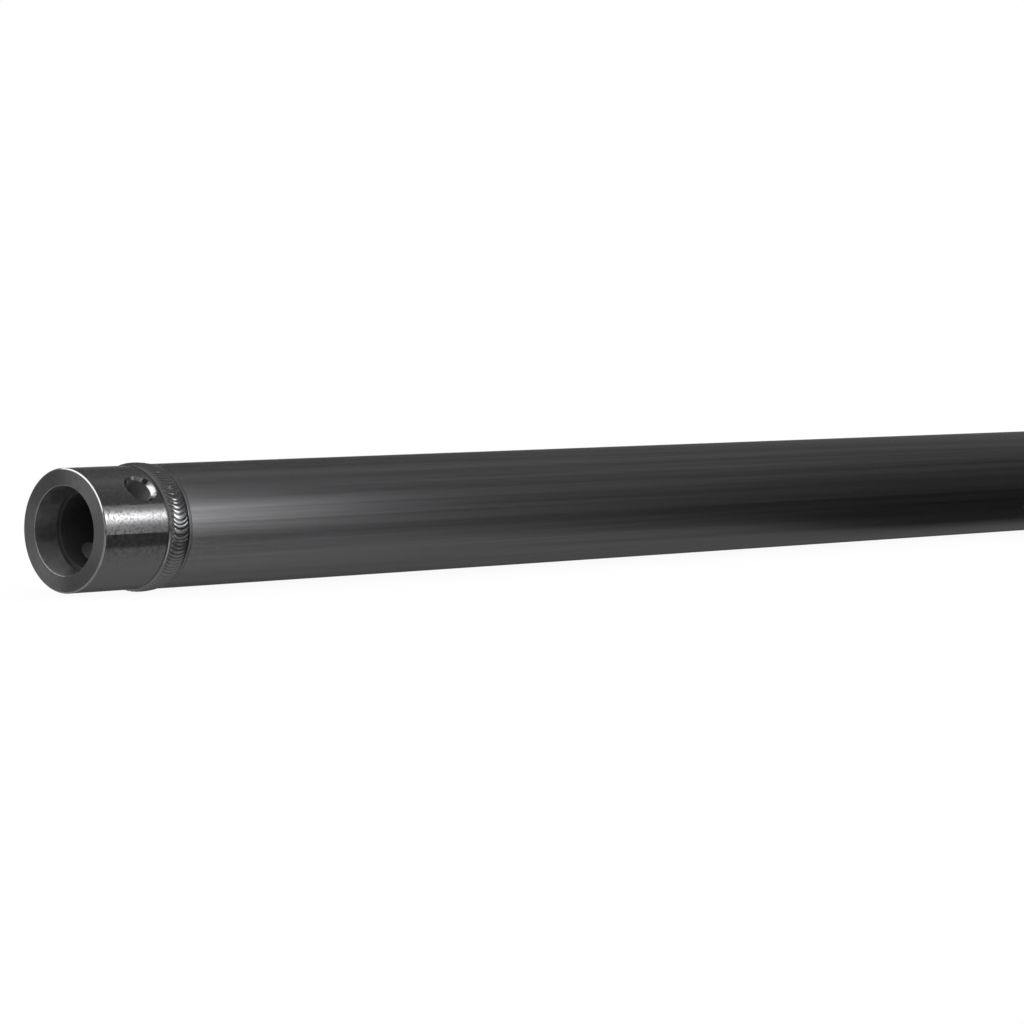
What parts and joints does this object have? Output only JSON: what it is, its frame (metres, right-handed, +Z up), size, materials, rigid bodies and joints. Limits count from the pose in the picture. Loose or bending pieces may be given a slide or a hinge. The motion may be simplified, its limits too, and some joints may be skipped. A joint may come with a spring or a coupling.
{
  "type": "aluminium tube",
  "caption": "Round aluminium tube with a turned socket welded into each end, each bored for a joining spigot and cross-drilled for a locking pin.",
  "frame": {"origin": "middle of the tube's axis, halfway between the two end faces", "axes": "+X along the tube towards its back end, +Z up as the tube lies, -Y the side that the pin holes' wide view shows, with their axes 43 degrees above -Y"},
  "size_m": [1, 0.0516, 0.0516],
  "materials": {
    "drawn_tube": "drawn, dark satin with fine lengthwise lines",
    "turned_socket": "turned, semi-polished",
    "weld_bead": "as welded, bright ripples"
  },
  "bodies": {
    "root": {"tube": "drawn_tube", "front_receiver": "turned_socket", "back_receiver": "turned_socket", "front_weld": "weld_bead", "back_weld": "weld_bead"}
  },
  "joints": []
}
